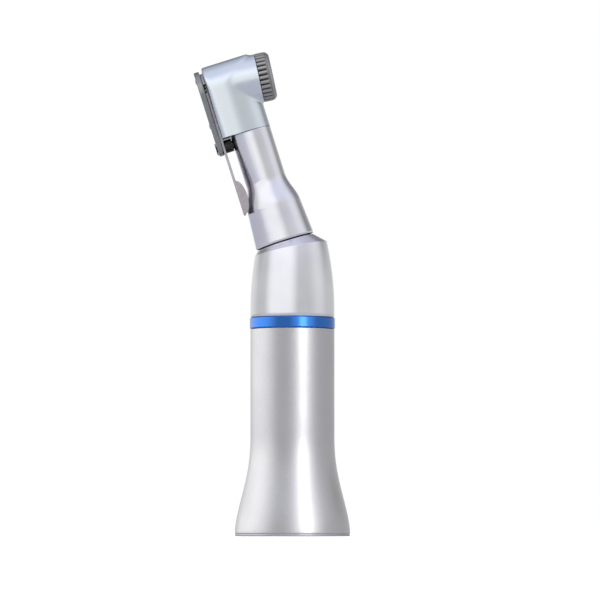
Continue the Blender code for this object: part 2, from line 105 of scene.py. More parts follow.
WALLS, CEILING_ADDS, BACK_WALL_ADDS, BAND_ADDS = 0.57, 0.3, 0.2, -0.3
BACK_WALL_WAY = (-0.3, 0.954, 0)
room = bpy.data.worlds.new("white_room")
bpy.context.scene.world = room
room.use_nodes = True
room.node_tree.nodes.clear()
way = add_node(room.node_tree, "ShaderNodeTexCoord")
split = add_node(room.node_tree, "ShaderNodeSeparateXYZ", {0: way.outputs["Generated"]})
ceiling = add_node(room.node_tree, "ShaderNodeMapRange",
                   {"Value": split.outputs["Z"], "From Min": 0.15, "From Max": 0.8},
                   interpolation_type="SMOOTHSTEP")
ahead = add_node(room.node_tree, "ShaderNodeMapRange",
                 {"Value": split.outputs["Y"], "From Min": 0.6, "From Max": -0.2},
                 interpolation_type="SMOOTHSTEP")
rearward = add_node(room.node_tree, "ShaderNodeVectorMath",
                    {0: way.outputs["Generated"], 1: BACK_WALL_WAY}, operation="DOT_PRODUCT")
lid = add_node(room.node_tree, "ShaderNodeMath", {0: ceiling.outputs[0], 1: ahead.outputs[0]},
               operation="MULTIPLY")
behind = add_node(room.node_tree, "ShaderNodeMapRange",
                  {"Value": rearward.outputs["Value"], "From Min": 0.55, "From Max": 1.0},
                  interpolation_type="SMOOTHSTEP")
low_down = add_node(room.node_tree, "ShaderNodeMapRange",
                    {"Value": split.outputs["Z"], "From Min": 0.4, "From Max": 0.1},
                    interpolation_type="SMOOTHSTEP")
back_wall = add_node(room.node_tree, "ShaderNodeMath",
                     {0: behind.outputs[0], 1: low_down.outputs[0]}, operation="MULTIPLY")
dim_low = add_node(room.node_tree, "ShaderNodeMapRange",
                   {"Value": split.outputs["Z"], "From Min": 0.12, "From Max": 0.4},
                   interpolation_type="SMOOTHSTEP")
dim_high = add_node(room.node_tree, "ShaderNodeMapRange",
                    {"Value": split.outputs["Z"], "From Min": 0.85, "From Max": 0.6,
                     "To Max": BAND_ADDS}, interpolation_type="SMOOTHSTEP")
dim_back = add_node(room.node_tree, "ShaderNodeMapRange",
                    {"Value": split.outputs["Y"], "From Min": 0.1, "From Max": 0.5},
                    interpolation_type="SMOOTHSTEP")
dim_band = add_node(room.node_tree, "ShaderNodeMath",
                    {0: dim_low.outputs[0], 1: dim_high.outputs[0]}, operation="MULTIPLY")
dimmed = add_node(room.node_tree, "ShaderNodeMath",
                  {0: dim_band.outputs[0], 1: dim_back.outputs[0], 2: WALLS},
                  operation="MULTIPLY_ADD")
above = add_node(room.node_tree, "ShaderNodeMath",
                 {0: lid.outputs[0], 1: CEILING_ADDS, 2: dimmed.outputs[0]},
                 operation="MULTIPLY_ADD")
level = add_node(room.node_tree, "ShaderNodeMath",
                 {0: back_wall.outputs[0], 1: BACK_WALL_ADDS, 2: above.outputs[0]},
                 operation="MULTIPLY_ADD")
tint = add_node(room.node_tree, "ShaderNodeMix",
                {0: ceiling.outputs[0], 6: (1, 1, 1, 1), 7: linear("#EBEDFF")}, data_type="RGBA")
# The camera itself sees plain white behind the handpiece.
ray = add_node(room.node_tree, "ShaderNodeLightPath")
shade = add_node(room.node_tree, "ShaderNodeMix",
                 {0: ray.outputs["Is Camera Ray"], 6: tint.outputs[2], 7: (1, 1, 1, 1)},
                 data_type="RGBA")
seen = add_node(room.node_tree, "ShaderNodeMix",
                {0: ray.outputs["Is Camera Ray"], 2: level.outputs[0], 3: 1.0})
glow = add_node(room.node_tree, "ShaderNodeBackground",
                {"Color": shade.outputs[2], "Strength": seen.outputs[0]})
add_node(room.node_tree, "ShaderNodeOutputWorld", {"Surface": glow.outputs[0]})

# Lamps for the grip light only the pieces in the first collection, and those for the plating light
# all but the pieces in the second.
grip_pieces = bpy.data.collections.new("grip_pieces")
other_pieces = bpy.data.collections.new("all_but_the_grip")
LAMPS_AIM_AT = Vector((0, 0, 0.045))


def softbox(name, azimuth, elevation, size, radiance, lit, distance=0.7, flat=0.0):
    """A lamp that fades from its flat middle to its edges; azimuth 0 is in front and 90 is +X."""
    lamp = bpy.data.lights.new(name, "AREA")
    lamp.shape = "RECTANGLE"
    lamp.size, lamp.size_y = size
    lamp.energy = radiance * pi * size[0] * size[1]
    lamp.use_nodes = True
    tree = lamp.node_tree
    on_lamp = add_node(tree, "ShaderNodeNewGeometry").outputs["Parametric"]
    across = add_node(tree, "ShaderNodeSeparateXYZ", {0: on_lamp})
    fades = []
    for axis in "XY":
        from_edge = add_node(tree, "ShaderNodeMath", {0: across.outputs[axis], 1: 0.5},
                             operation="PINGPONG")
        fades.append(add_node(
            tree, "ShaderNodeMapRange",
            {"Value": from_edge.outputs[0], "From Min": 0.0, "From Max": 0.5 * (1 - flat)},
            interpolation_type="SMOOTHSTEP").outputs[0])
    fade = add_node(tree, "ShaderNodeMath", {0: fades[0], 1: fades[1]}, operation="MULTIPLY")
    tree.links.new(fade.outputs[0], tree.nodes["Emission"].inputs["Strength"])
    box = bpy.data.objects.new(name, lamp)
    bpy.context.scene.collection.objects.link(box)
    a, e = radians(azimuth), radians(elevation)
    away = Vector((sin(a) * cos(e), -cos(a) * cos(e), sin(e)))
    box.location = LAMPS_AIM_AT + away * distance
    box.rotation_euler = away.to_track_quat("Z", "Y").to_euler()
    box.visible_camera = False
    box.light_linking.receiver_collection = lit


softbox("grip_front", 31, 8, (1.25, 1.8), 0.9, grip_pieces)
softbox("grip_core", 29, 8, (0.34, 1.8), 1.75, grip_pieces, flat=0.4)
softbox("grip_left", -98, 8, (1.7, 1.8), 0.96, grip_pieces, distance=0.5)
softbox("bright_left", -33, 12, (1.75, 1.6), 0.4, other_pieces, flat=0.3)
softbox("bright_right", 78, 12, (0.9, 1.6), 0.15, other_pieces)

TABLE_HALF_M, TABLE_DROP_M = 2.0, 0.00002
floor_mesh = bpy.data.meshes.new("floor")
table = bmesh.new()
bmesh.ops.create_grid(table, x_segments=1, y_segments=1, size=TABLE_HALF_M)
table.to_mesh(floor_mesh)
table.free()
floor = bpy.data.objects.new("floor", floor_mesh)
bpy.context.scene.collection.objects.link(floor)
floor.location.z = cad_box[0].z - TABLE_DROP_M
table_top = bpy.data.materials.new("white_table")
table_top.use_nodes = True
top = table_top.node_tree.nodes["Principled BSDF"]
top.inputs["Base Color"].default_value = linear("#E4E4E4")
top.inputs["Roughness"].default_value = 0.9
top.inputs["Specular IOR Level"].default_value = 0.0
top.inputs["Emission Color"].default_value = (1, 1, 1, 1)
table_ray = add_node(table_top.node_tree, "ShaderNodeLightPath")
table_top.node_tree.links.new(table_ray.outputs["Is Camera Ray"], top.inputs["Emission Strength"])
floor_mesh.materials.append(table_top)

# ---------------------------------------------------------------- rear sheath
# The grip: a turned brass sleeve, bead blasted and satin nickel plated, with a flared skirt at the
# rear that covers the motor's nose. It is pushed on from behind against the marker ring.


def eased(corners, steps=4):
    """Profile corners as points; a corner with a third number is rounded to that radius."""
    points = []
    for index, corner in enumerate(corners):
        here = Vector(corner[:2])
        if len(corner) < 3:
            points.append(here)
            continue
        before = (Vector(corners[index - 1][:2]) - here).normalized()
        after = (Vector(corners[(index + 1) % len(corners)][:2]) - here).normalized()
        half = before.angle(after) / 2
        centre = here + (before + after).normalized() * corner[2] / sin(half)
        first, last = [here + side * corner[2] / tan(half) - centre for side in (before, after)]
        turn = first.angle_signed(last)
        for step in range(steps + 1):
            points.append(centre + Matrix.Rotation(-turn * step / steps, 2) @ first)
    return points


def set_in_place(name, solid, axes, body, material, node, sharp=40):
    """Turns a bmesh in millimetres into a finished piece, on its body and in its node's place."""
    bmesh.ops.remove_doubles(solid, verts=solid.verts, dist=0.0005)
    bmesh.ops.recalc_face_normals(solid, faces=solid.faces)
    bmesh.ops.transform(solid, matrix=axes @ Matrix.Scale(0.001, 4), verts=solid.verts)
    mesh = bpy.data.meshes.new(name)
    solid.to_mesh(mesh)
    solid.free()
    mesh.shade_smooth()
    mesh.set_sharp_from_angle(angle=radians(sharp))
    mesh.materials.append(material)
    piece = bpy.data.objects.new(name, mesh)
    bpy.context.scene.collection.objects.link(piece)
    weights = piece.modifiers.new("flat_faces_stay_flat", "WEIGHTED_NORMAL")
    weights.keep_sharp = True
    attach(piece, body)
    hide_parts(node)
    return piece


def spun(profile, segments=128, closed=True):
    """A bmesh turned about Z from (radius, height) points."""
    solid = bmesh.new()
    points = [solid.verts.new((radius, 0, height)) for radius, height in profile]
    pairs = list(zip(points, points[1:])) + ([(points[-1], points[0])] if closed else [])
    edges = [solid.edges.new(pair) for pair in pairs]
    bmesh.ops.spin(solid, geom=points + edges, axis=(0, 0, 1), cent=(0, 0, 0), angle=2 * pi,
                   steps=segments, use_merge=True, use_duplicate=False)
    return solid


def new_material(name):
    """An empty node material: returns it, its tree, its shader and its object coordinates."""
    material = bpy.data.materials.new(name)
    material.use_nodes = True
    tree = material.node_tree
    place = add_node(tree, "ShaderNodeTexCoord").outputs["Object"]
    return material, tree, tree.nodes["Principled BSDF"], place


def smooth_step(value):
    """An S-shaped rise from 0 to 1."""
    return value * value * (3 - 2 * value)


HANDLE_R, FLARE_R, FLARE_TOP, SHEATH_TOP, SHEATH_WALL = 7.78, 10.7, 18.7, 38.4, 0.75
FLARE_SWEEP, FLARE_STEPS, SKIRT_LOW, INSIDE_STEPS, TURNED_SEGMENTS = 1.25, 28, 0.9, 12, 160
handle_axis = Matrix.Identity(4)


def flare_radius(height):
    """The grip's outer radius: straight, then swept out into the skirt below FLARE_TOP."""
    share = max(0.0, 1 - height / FLARE_TOP)
    return HANDLE_R + (FLARE_R - HANDLE_R) * smooth_step(share ** FLARE_SWEEP)


# Bead-blasted nickel: a fine even grain that scatters the lamps, with faint cloudy patches where
# the plating is thicker. Real blast marks are 0.05 mm; they are drawn at 0.22 mm so that they show.
GRAIN_MM, CLOUD_MM = 0.22, 6.0
satin_nickel, tree, shader, place = new_material("bead_blasted_nickel")
grain = add_node(tree, "ShaderNodeTexNoise",
                 {"Vector": place, "Scale": 1000 / GRAIN_MM, "Detail": 3})
cloud = add_node(tree, "ShaderNodeTexNoise",
                 {"Vector": place, "Scale": 1000 / CLOUD_MM, "Detail": 2})
tone = add_node(tree, "ShaderNodeMix", {0: grain.outputs["Fac"], 6: linear("#C3C2C4"),
                                        7: linear("#D9D8D9")}, data_type="RGBA")
gloss = add_node(tree, "ShaderNodeMapRange", {"Value": cloud.outputs["Fac"], "From Min": 0.3,
                                              "From Max": 0.7, "To Min": 0.30, "To Max": 0.36})
relief = add_node(tree, "ShaderNodeBump", {"Height": grain.outputs["Fac"], "Strength": 0.35,
                                           "Distance": 0.00002})
tree.links.new(tone.outputs[2], shader.inputs["Base Color"])
tree.links.new(gloss.outputs[0], shader.inputs["Roughness"])
tree.links.new(relief.outputs[0], shader.inputs["Normal"])
shader.inputs["Metallic"].default_value = 1.0

outside_heights = [FLARE_TOP * (1 - step / FLARE_STEPS) for step in range(FLARE_STEPS)]
outside = [(flare_radius(height), height) for height in outside_heights if height > SKIRT_LOW]
rim_groove = [(FLARE_R, 0.75), (FLARE_R, 0.55, 0.1), (FLARE_R - 0.14, 0.42, 0.05),
              (FLARE_R - 0.04, 0.3, 0.05), (FLARE_R - 0.06, 0, 0.12)]
inside_heights = [FLARE_TOP * step / INSIDE_STEPS for step in range(INSIDE_STEPS + 1)]
inside = [(flare_radius(height) - SHEATH_WALL, height) for height in inside_heights]
sheath_profile = eased([(HANDLE_R, SHEATH_TOP, 0.18)] + outside + rim_groove + inside
                       + [(HANDLE_R - SHEATH_WALL, SHEATH_TOP)])
sheath = set_in_place("rear_sheath_shell", spun(sheath_profile, TURNED_SEGMENTS), handle_axis,
                      "shank_and_head", satin_nickel, "rear_sheath")
grip_pieces.objects.link(sheath)

# ---------------------------------------------------------------- marker ring
# The blue band that marks a 1:1 drive: an anodised aluminium ring, polished under the dye and
# sealed. It is caught between the sheath and the front housing, and stands 0.1 mm proud of them.

RING_LOW, RING_HIGH, RING_R, RING_EDGE = 38.45, 40.45, 7.9, 0.16


def patchy(name, patch_mm, detail, dark, light, roughness, metallic=1.0):
    """A material whose colour drifts between two tones in soft patches of one size."""
    material, tree, shader, place = new_material(name)
    patches = add_node(tree, "ShaderNodeTexNoise",
                       {"Vector": place, "Scale": 1000 / patch_mm, "Detail": detail})
    tone = add_node(tree, "ShaderNodeMix",
                    {0: patches.outputs["Fac"], 6: linear(dark), 7: linear(light)},
                    data_type="RGBA")
    tree.links.new(tone.outputs[2], shader.inputs["Base Color"])
    shader.inputs["Metallic"].default_value = metallic
    shader.inputs["Roughness"].default_value = roughness
    return material


# Anodised aluminium: the dye sits in a clear oxide, so the metal shines blue under a glassy skin.
blue_anodised = patchy("blue_anodised_aluminium", 0.5, 2, "#2F72CC", "#3C80D8", 0.16)
oxide_skin = blue_anodised.node_tree.nodes["Principled BSDF"].inputs
oxide_skin["Coat Weight"].default_value = 0.3
oxide_skin["Coat Roughness"].default_value = 0.08

ring_profile = eased([(HANDLE_R - SHEATH_WALL, RING_HIGH), (RING_R, RING_HIGH, RING_EDGE),
                      (RING_R, RING_LOW, RING_EDGE), (HANDLE_R - SHEATH_WALL, RING_LOW)])
marker = set_in_place("blue_marker_ring", spun(ring_profile, TURNED_SEGMENTS), handle_axis,
                      "shank_and_head", blue_anodised, "marker_ring")

# The grip's own lamps light both, and the lamps for the plating leave both out.
grip_pieces.objects.link(marker)
for piece in (sheath, marker):
    other_pieces.objects.link(piece)
for member in other_pieces.collection_objects:
    member.light_linking.link_state = "EXCLUDE"

# ---------------------------------------------------------------- front housing
# The domed front of the shank: turned brass, polished and pearl-nickel plated. Its walls draw in to
# a shoulder coned about the leaning neck, so its edge is high on one side and low on the other.


def axes_of(point, direction):
    """Axes with Z along a joint's direction and Y across the handpiece."""
    forward = Vector(direction).normalized()
    across = Vector((0, 1, 0))
    columns = Matrix((across.cross(forward), across, forward)).transposed().to_4x4()
    return Matrix.Translation(Vector(point)) @ columns


NECK_FROM_BEND = 4.62
neck_joint = joints["neck_shaft_spin"]
neck_axis = (axes_of(neck_joint["pos_m"], neck_joint["axis"])
             @ Matrix.Translation((0, 0, NECK_FROM_BEND * 0.001)))
HOUSING_LOW, DOME_START, DOME_CURVE, DOME_CUT, WALL_STEPS = 40.5, 42.0, 116.0, 57.0, 30
BORE_SEGMENTS = 96
SHOULDER_R, SHOULDER_V, SHOULDER_ANGLE, SHOULDER_REACH = 5.45, -0.3, 44.0, 9.0
SHOULDER_EDGE, MERGE_MM, SHOULDER_CREASE, TOOL_DEPTH = 0.35, 0.02, 14, 30


def scratch_object(solid):
    """A bmesh in millimetres as a plain object, for Boolean and Remesh work."""
    mesh = bpy.data.meshes.new("scratch")
    bmesh.ops.recalc_face_normals(solid, faces=solid.faces)
    solid.to_mesh(mesh)
    solid.free()
    made = bpy.data.objects.new("scratch", mesh)
    bpy.context.scene.collection.objects.link(made)
    return made


def combined(base, steps, voxel=0.0, smoothing=0):
    """Runs (operation, bmesh) Booleans on a bmesh, remeshes and smooths if asked, gives a bmesh."""
    body = scratch_object(base)
    tools = [(operation, scratch_object(solid)) for operation, solid in steps]
    for operation, tool in tools:
        boolean = body.modifiers.new("boolean", "BOOLEAN")
        boolean.operation = operation
        boolean.object = tool
    if voxel:
        remesh = body.modifiers.new("remesh", "REMESH")
        remesh.mode = "VOXEL"
        remesh.voxel_size = voxel
        smooth = body.modifiers.new("smooth", "SMOOTH")
        smooth.iterations = smoothing
    result = bmesh.new()
    result.from_object(body, bpy.context.evaluated_depsgraph_get())
    for made in [body] + [tool for _, tool in tools]:
        bpy.data.objects.remove(made)
    return result


def in_neck_frame(solid):
    """Moves a bmesh made on the neck's axis to its place on the handle, in millimetres."""
    placed = Matrix.Scale(1000, 4) @ neck_axis @ Matrix.Scale(0.001, 4)
    bmesh.ops.transform(solid, matrix=placed, verts=solid.verts)
    return solid


def dome_radius(height):
    """The housing's outer radius, which draws in as a shallow curve above DOME_START."""
    return HANDLE_R - max(0.0, height - DOME_START) ** 2 / DOME_CURVE


wall_heights = [DOME_CUT - (DOME_CUT - HOUSING_LOW - 0.2) * step / WALL_STEPS
                for step in range(WALL_STEPS + 1)]
dome_form = spun([(0, DOME_CUT)] + [(dome_radius(height), height) for height in wall_heights]
                 + [(HANDLE_R - 0.04, HOUSING_LOW + 0.06), (HANDLE_R - 0.14, HOUSING_LOW),
                    (0, HOUSING_LOW)], TURNED_SEGMENTS, closed=False)
cone_r = SHOULDER_R + SHOULDER_REACH * tan(radians(SHOULDER_ANGLE))
shoulder_form = in_neck_frame(spun([
    (0, SHOULDER_V), (SHOULDER_R, SHOULDER_V), (cone_r, SHOULDER_V - SHOULDER_REACH),
    (cone_r, -TOOL_DEPTH), (0, -TOOL_DEPTH)], TURNED_SEGMENTS, closed=False))
shell = combined(dome_form, [("INTERSECT", shoulder_form)])
bmesh.ops.remove_doubles(shell, verts=shell.verts, dist=MERGE_MM)
bmesh.ops.dissolve_degenerate(shell, edges=shell.edges, dist=MERGE_MM)

# The edge between wall and cone is rounded. The cone's own top edge hides under the neck, and
# stays sharp.
to_neck = neck_axis.inverted()
corner = [edge for edge in shell.edges if len(edge.link_faces) == 2
          and edge.calc_face_angle(0) > radians(SHOULDER_CREASE)
          and edge.verts[0].co.z > HOUSING_LOW + 3
          and (to_neck @ (edge.verts[0].co * 0.001)).z * 1000 < SHOULDER_V - 0.05]
bmesh.ops.bevel(shell, geom=corner, offset=SHOULDER_EDGE, affect="EDGES", segments=4, profile=0.5,
                material=-1, clamp_overlap=True)
tube_bore = spun([(0, 44.25), (6.98, 44.25), (6.98, 39), (0, 39)], BORE_SEGMENTS, closed=False)
gear_bore = spun([(0, 51.2), (4.7, 51.2), (4.7, 43.5), (0, 43.5)], BORE_SEGMENTS, closed=False)
neck_bore = in_neck_frame(spun([(0, 1), (4.6, 1), (4.6, -5.6), (0, -5.6)], BORE_SEGMENTS,
                               closed=False))
shell = combined(shell, [("DIFFERENCE", bore) for bore in (tube_bore, gear_bore, neck_bore)])

# Pearl nickel over polish: nearly a mirror, milky white with a trace of violet, and slow ripples a
# few millimetres long left by the polishing wheel.
pearl_nickel, tree, shader, place = new_material("polished_pearl_nickel")
ripple = add_node(tree, "ShaderNodeTexNoise", {"Vector": place, "Scale": 1000 / 4.0, "Detail": 1})
pearl = add_node(tree, "ShaderNodeMix", {0: ripple.outputs["Fac"], 6: linear("#E9E9F2"),
                                         7: linear("#F8F9FA")}, data_type="RGBA")
haze = add_node(tree, "ShaderNodeMapRange", {"Value": ripple.outputs["Fac"], "From Min": 0.3,
                                             "From Max": 0.7, "To Min": 0.14, "To Max": 0.19})
soft = add_node(tree, "ShaderNodeBump", {"Height": ripple.outputs["Fac"], "Strength": 0.12,
                                         "Distance": 0.0002})
tree.links.new(pearl.outputs[2], shader.inputs["Base Color"])
tree.links.new(haze.outputs[0], shader.inputs["Roughness"])
tree.links.new(soft.outputs[0], shader.inputs["Normal"])
shader.inputs["Metallic"].default_value = 1.0

set_in_place("front_housing_dome", shell, handle_axis, "shank_and_head", pearl_nickel,
             "front_housing", sharp=35)

# ---------------------------------------------------------------- motor socket
# The ground steel tube inside the shank that slides over the motor's nose, with a rubber O-ring in
# its wall. Deeper in sits the sprung driving dog, which the motor's own dog turns.

SOCKET_R, TUBE_R, TUBE_LOW, TUBE_STEP, TUBE_TOP = 5.85, 6.93, 2.2, 25.0, 43.05

# Ground steel: grinding leaves fine rings round the axis, 0.3 mm apart so that they show.
ground_steel, tree, shader, place = new_material("ground_steel")
lay = add_node(tree, "ShaderNodeMapping", {"Vector": place, "Scale": (300, 300, 3000)})
rings = add_node(tree, "ShaderNodeTexNoise", {"Vector": lay.outputs[0], "Scale": 1.0, "Detail": 3})
steel = add_node(tree, "ShaderNodeMix", {0: rings.outputs["Fac"], 6: linear("#B4B5B7"),
                                         7: linear("#DADADB")}, data_type="RGBA")
cut_marks = add_node(tree, "ShaderNodeBump", {"Height": rings.outputs["Fac"], "Strength": 0.2,
                                              "Distance": 0.00002})
tree.links.new(steel.outputs[2], shader.inputs["Base Color"])
tree.links.new(cut_marks.outputs[0], shader.inputs["Normal"])
shader.inputs["Metallic"].default_value = 1.0
shader.inputs["Roughness"].default_value = 0.28

tube_profile = eased([
    (TUBE_R, TUBE_TOP, 0.1), (TUBE_R, TUBE_LOW, 0.3), (SOCKET_R, TUBE_LOW, 0.25),
    (SOCKET_R, 5.5, 0.06), (SOCKET_R + 0.55, 5.5), (SOCKET_R + 0.55, 6.5), (SOCKET_R, 6.5, 0.06),
    (SOCKET_R, TUBE_STEP), (4.9, TUBE_STEP, 0.1), (4.9, TUBE_TOP)])
set_in_place("motor_socket_tube", spun(tube_profile), handle_axis, "shank_and_head", ground_steel,
             "inner_tube")

# Nitrile rubber, moulded: matt black with a faint bloom of dust and wax.
nitrile = patchy("moulded_nitrile_rubber", 1.5, 4, "#17181A", "#2C2D30", 0.62, metallic=0.0)


def seal(name, axes, height, major, minor, node):
    """An O-ring: a circle of rubber spun about the axis it seals."""
    around = [(major + minor * cos(radians(angle)), height + minor * sin(radians(angle)))
              for angle in range(90, -270, -24)]
    set_in_place(name, spun(around, 96), axes, "shank_and_head", nitrile, node)


seal("socket_seal", handle_axis, 6.0, 5.97, 0.38, "socket_o_ring")
seal("neck_seal", neck_axis, -1.125, 4.27, 0.29, "neck_o_ring")

# Hardened steel, tumbled and oiled: darker than ground steel, with soft blotches from the quench.
hard_steel = patchy("hardened_steel", 1.2, 4, "#7F8083", "#B0B0B2", 0.34)


def box_between(low, high, edge=0.0, steps=3):
    """A bmesh block between two corners, its edges rounded."""
    solid = bmesh.new()
    bmesh.ops.create_cube(solid, size=1.0)
    size = [b - a for a, b in zip(low, high)]
    bmesh.ops.scale(solid, vec=size, verts=solid.verts)
    bmesh.ops.translate(solid, vec=[(a + b) / 2 for a, b in zip(low, high)], verts=solid.verts)
    if edge:
        bmesh.ops.bevel(solid, geom=solid.edges[:], offset=edge, affect="EDGES", segments=steps,
                        profile=0.5, material=-1)
    return solid


# The dog is a cup with a tongue below, slotted for the pin that turns it and lets it slide.
DOG_PIN_Z, DOG_PIN_FIT, DOG_TRAVEL = 22.6, 0.38, 1.2
dog_body = spun(eased([(0, 20.4), (1.27, 20.4), (1.27, 23.4, 0.1), (2.3, 23.4, 0.15),
                       (2.3, 19.9, 0.2), (0, 19.9)]), 64, closed=False)
tongue = box_between((-2.1, -0.5, 18.4), (2.1, 0.5, 20.1), 0.12)
pin_slot = box_between((-3, -0.4, DOG_PIN_Z - DOG_PIN_FIT - DOG_TRAVEL),
                       (3, 0.4, DOG_PIN_Z + DOG_PIN_FIT))
dog = combined(dog_body, [("UNION", tongue), ("DIFFERENCE", pin_slot)])
set_in_place("driving_dog", dog, handle_axis, "drive_dog", hard_steel, "drive_dog")

# Drawn music wire: cold drawing leaves it dark and half bright, with soft streaks.
music_wire = patchy("drawn_music_wire", 0.5, 3, "#77787B", "#A5A6A9", 0.3)

# The spring bears on the shaft's shoulder, and the dog shortens it by its whole travel.
SPRING_LOW, SPRING_HIGH, SPRING_TURNS, TURN_STEPS = 23.62, 26.13, 4, 24
SPRING_R, WIRE_R = 1.75, 0.15
wire = bmesh.new()
bmesh.ops.create_circle(wire, segments=10, radius=WIRE_R,
                        matrix=Matrix.Translation((SPRING_R, 0, SPRING_LOW))
                        @ Matrix.Rotation(radians(90), 4, "X"))
coil_steps = SPRING_TURNS * TURN_STEPS
bmesh.ops.spin(wire, geom=wire.verts[:] + wire.edges[:], axis=(0, 0, 1), cent=(0, 0, 0),
               dvec=(0, 0, (SPRING_HIGH - SPRING_LOW) / coil_steps), angle=2 * pi * SPRING_TURNS,
               steps=coil_steps, use_duplicate=False)
bmesh.ops.holes_fill(wire, edges=[edge for edge in wire.edges if edge.is_boundary], sides=0)
spring = set_in_place("dog_return_spring", wire, handle_axis, "main_shaft_line", music_wire,
                      "dog_spring", sharp=60)
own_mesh(spring)

# ---------------------------------------------------------------- neck sheath
# The leaning neck: one turned and polished piece, a slow cone, a waist, and a straight tube that
# spigots into the head. It is plated like the dome, and screws into the shoulder's bore.

NECK_BASE_R, CONE_R, NECK_R = 5.57, 5.1, 3.8
CONE_TOP, WAIST_TOP, HEAD_LOW, SPIGOT_TOP, WAIST_STEPS = 6.4, 12.0, 21.35, 25.3, 24
waist = []
for step in range(WAIST_STEPS):
    share = step / WAIST_STEPS
    waist.append((NECK_R + (CONE_R - NECK_R) * smooth_step(share),
                  WAIST_TOP + (CONE_TOP - WAIST_TOP) * share))
neck_profile = eased([(3.05, SPIGOT_TOP, 0.1), (3.05, HEAD_LOW), (NECK_R - 0.04, HEAD_LOW),
                      (NECK_R, HEAD_LOW - 0.12, 0.05)] + waist
                     + [(CONE_R, CONE_TOP), (NECK_BASE_R - 0.01, 0.3, 0.1), (NECK_BASE_R - 0.12, 0),
                        (4.5, 0), (4.5, -0.75), (3.95, -0.75), (3.95, -1.5), (4.5, -1.5),
                        (4.5, -1.9), (3.38, -1.9), (3.38, 2.75), (2.65, 2.75), (2.65, SPIGOT_TOP)])
neck_form = spun(neck_profile, 144)

# The end faces, the spigot and the bore are joint faces, which take the second material.
BORE_REACH, END_DEPTH = 3.5, 0.02
for face in neck_form.faces:
    middle = face.calc_center_median()
    if not END_DEPTH < middle.z < HEAD_LOW - END_DEPTH or middle.xy.length < BORE_REACH:
        face.material_index = 1
neck = set_in_place("neck_tube", neck_form, neck_axis, "shank_and_head", pearl_nickel,
                    "neck_sheath")

# The joint faces take a dark grey-brown, half-metallic finish: painted shade, so the seams read as dark lines.
neck.data.materials.append(
    patchy("seam_painted_shade_metal", 0.7, 4, "#454443", "#676461", 0.6, metallic=0.4))

# ---------------------------------------------------------------- head housing
# The head: an investment-cast block, arched at its far end, with a collar for the spindle's front
# bearing. It is tumbled smooth, so its edges are soft and the collar flows into the block, then
# satin chromed. The spindle hole shows on its flat back when the latch is open.

spindle_joint = joints["spindle_spin"]
spindle_axis = axes_of(spindle_joint["pos_m"], spindle_joint["axis"])
spindle_mm = neck_axis.inverted() @ spindle_axis
spindle_mm.translation *= 1000
HEAD_BACK, HALF_WIDTH, ARCH_V, COLLAR_R, COLLAR_END = 5.35, 4.65, 30.75, 4.5, 4.5
ROUND_U, ROUND_A, EDGE_Y, BACK_CORNER = -2.4, 6.25, 4.7, 0.9
HEAD_TOP, SMOOTHING_LOSS, HEAD_VOXEL, HEAD_SMOOTHING = 36.9, 0.04, 0.12, 70


def prism(outline, low, high):
    """A bmesh with a flat outline in XY, drawn up from low to high."""
    solid = bmesh.new()
    base = solid.faces.new([solid.verts.new((x, y, low)) for x, y in outline])
    grown = bmesh.ops.extrude_face_region(solid, geom=[base])
    top = [item for item in grown["geom"] if isinstance(item, bmesh.types.BMVert)]
    bmesh.ops.translate(solid, verts=top, vec=(0, 0, high - low))
    return solid


def arc(centre, radius, start, end, steps):
    """Points along an arc, from and to angles in degrees."""
    angles = [radians(start + (end - start) * step / steps) for step in range(steps + 1)]
    return [(centre[0] + radius * cos(angle), centre[1] + radius * sin(angle)) for angle in angles]


plan = ([(ROUND_U + ROUND_A * x, EDGE_Y * y) for x, y in arc((0, 0), 1, -90, 90, 48)]
        + arc((BACK_CORNER - HEAD_BACK, EDGE_Y - BACK_CORNER), BACK_CORNER, 90, 180, 8)
        + arc((BACK_CORNER - HEAD_BACK, BACK_CORNER - EDGE_Y), BACK_CORNER, 180, 270, 8))
arch_r, collar_r = HALF_WIDTH + SMOOTHING_LOSS, COLLAR_R + SMOOTHING_LOSS
arch = arc((ARCH_V, 0), arch_r, -90, 90, 48) + [(HEAD_LOW - 3, arch_r), (HEAD_LOW - 3, -arch_r)]
arch_form = prism(arch, -9, 9)
bmesh.ops.transform(arch_form, matrix=Matrix.Rotation(radians(-90), 4, "Y"),
                    verts=arch_form.verts)
collar = spun([(0, COLLAR_END + 2), (collar_r, COLLAR_END + 2), (collar_r, -1), (0, -1)],
              BORE_SEGMENTS, closed=False)
past_collar = spun([(0, COLLAR_END + 4), (7, COLLAR_END + 4), (7, COLLAR_END), (0, COLLAR_END)],
                   BORE_SEGMENTS, closed=False)
bores = spun([(0, 6), (3.95, 6), (3.95, 3.55), (3.18, 3.55), (3.18, -3.15), (2.85, -3.15),
              (2.85, -4.87), (1.8, -4.87), (1.8, -8), (0, -8)], BORE_SEGMENTS, closed=False)
for form in (collar, past_collar, bores):
    bmesh.ops.transform(form, matrix=spindle_mm, verts=form.verts)
shaft_bore = spun([(0, 28.9), (3.1, 28.9), (3.1, 20), (0, 20)], BORE_SEGMENTS, closed=False)
below_head = prism([(-9, -9), (9, -9), (9, 9), (-9, 9)], HEAD_LOW - 5, HEAD_LOW + 0.05)

# The block and the collar are blended first, and the flat ends and the bores are cut after.
head = combined(prism(plan, HEAD_LOW - 2, HEAD_TOP), [("INTERSECT", arch_form), ("UNION", collar)],
                voxel=HEAD_VOXEL, smoothing=HEAD_SMOOTHING)
head = combined(head, [("DIFFERENCE", form)
                       for form in (below_head, past_collar, bores, shaft_bore)])

